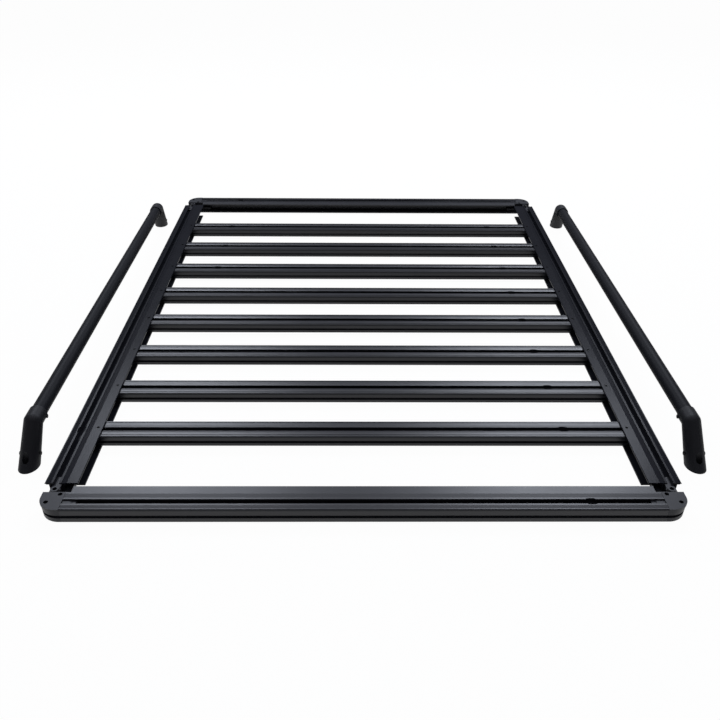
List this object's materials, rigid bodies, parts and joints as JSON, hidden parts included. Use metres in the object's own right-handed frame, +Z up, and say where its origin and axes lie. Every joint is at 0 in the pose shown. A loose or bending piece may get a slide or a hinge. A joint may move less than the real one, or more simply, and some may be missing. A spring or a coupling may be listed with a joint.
{
  "type": "vehicle platform roof rack",
  "caption": "Flat black platform roof rack of slotted extrusions with cast corners and cross slats, with tubular side rails on moulded legs standing beside it.",
  "frame": {"origin": "middle of the rack on the surface it stands on", "axes": "+X across the vehicle, +Y along it towards the rear bar, +Z up"},
  "size_m": [1.5394, 1.749, 0.1045],
  "materials": {
    "powder_coat": "satin black powder coat",
    "cast_coat": "satin black powder coat on castings",
    "tube_coat": "satin black powder coat on tube",
    "moulded_plastic": "black glass-filled plastic",
    "screws": "black zinc plate"
  },
  "bodies": {
    "root": {"left_side_rail": "powder_coat", "right_side_rail": "powder_coat", "front_bar": "powder_coat", "rear_bar": "powder_coat", "slat_1": "powder_coat", "slat_2": "powder_coat", "slat_3": "powder_coat", "slat_4": "powder_coat", "slat_5": "powder_coat", "slat_6": "powder_coat", "slat_7": "powder_coat", "slat_8": "powder_coat", "left_slat_screws": "screws", "right_slat_screws": "screws", "left_side_tube": "tube_coat", "right_side_tube": "tube_coat", "front_left_corner": "cast_coat", "front_left_corner_screws": "screws", "front_left_leg": "moulded_plastic", "front_left_leg_screws": "screws", "front_right_corner": "cast_coat", "front_right_corner_screws": "screws", "front_right_leg": "moulded_plastic", "front_right_leg_screws": "screws", "rear_left_corner": "cast_coat", "rear_left_corner_screws": "screws", "rear_left_leg": "moulded_plastic", "rear_left_leg_screws": "screws", "rear_right_corner": "cast_coat", "rear_right_corner_screws": "screws", "rear_right_leg": "moulded_plastic", "rear_right_leg_screws": "screws"}
  },
  "joints": []
}
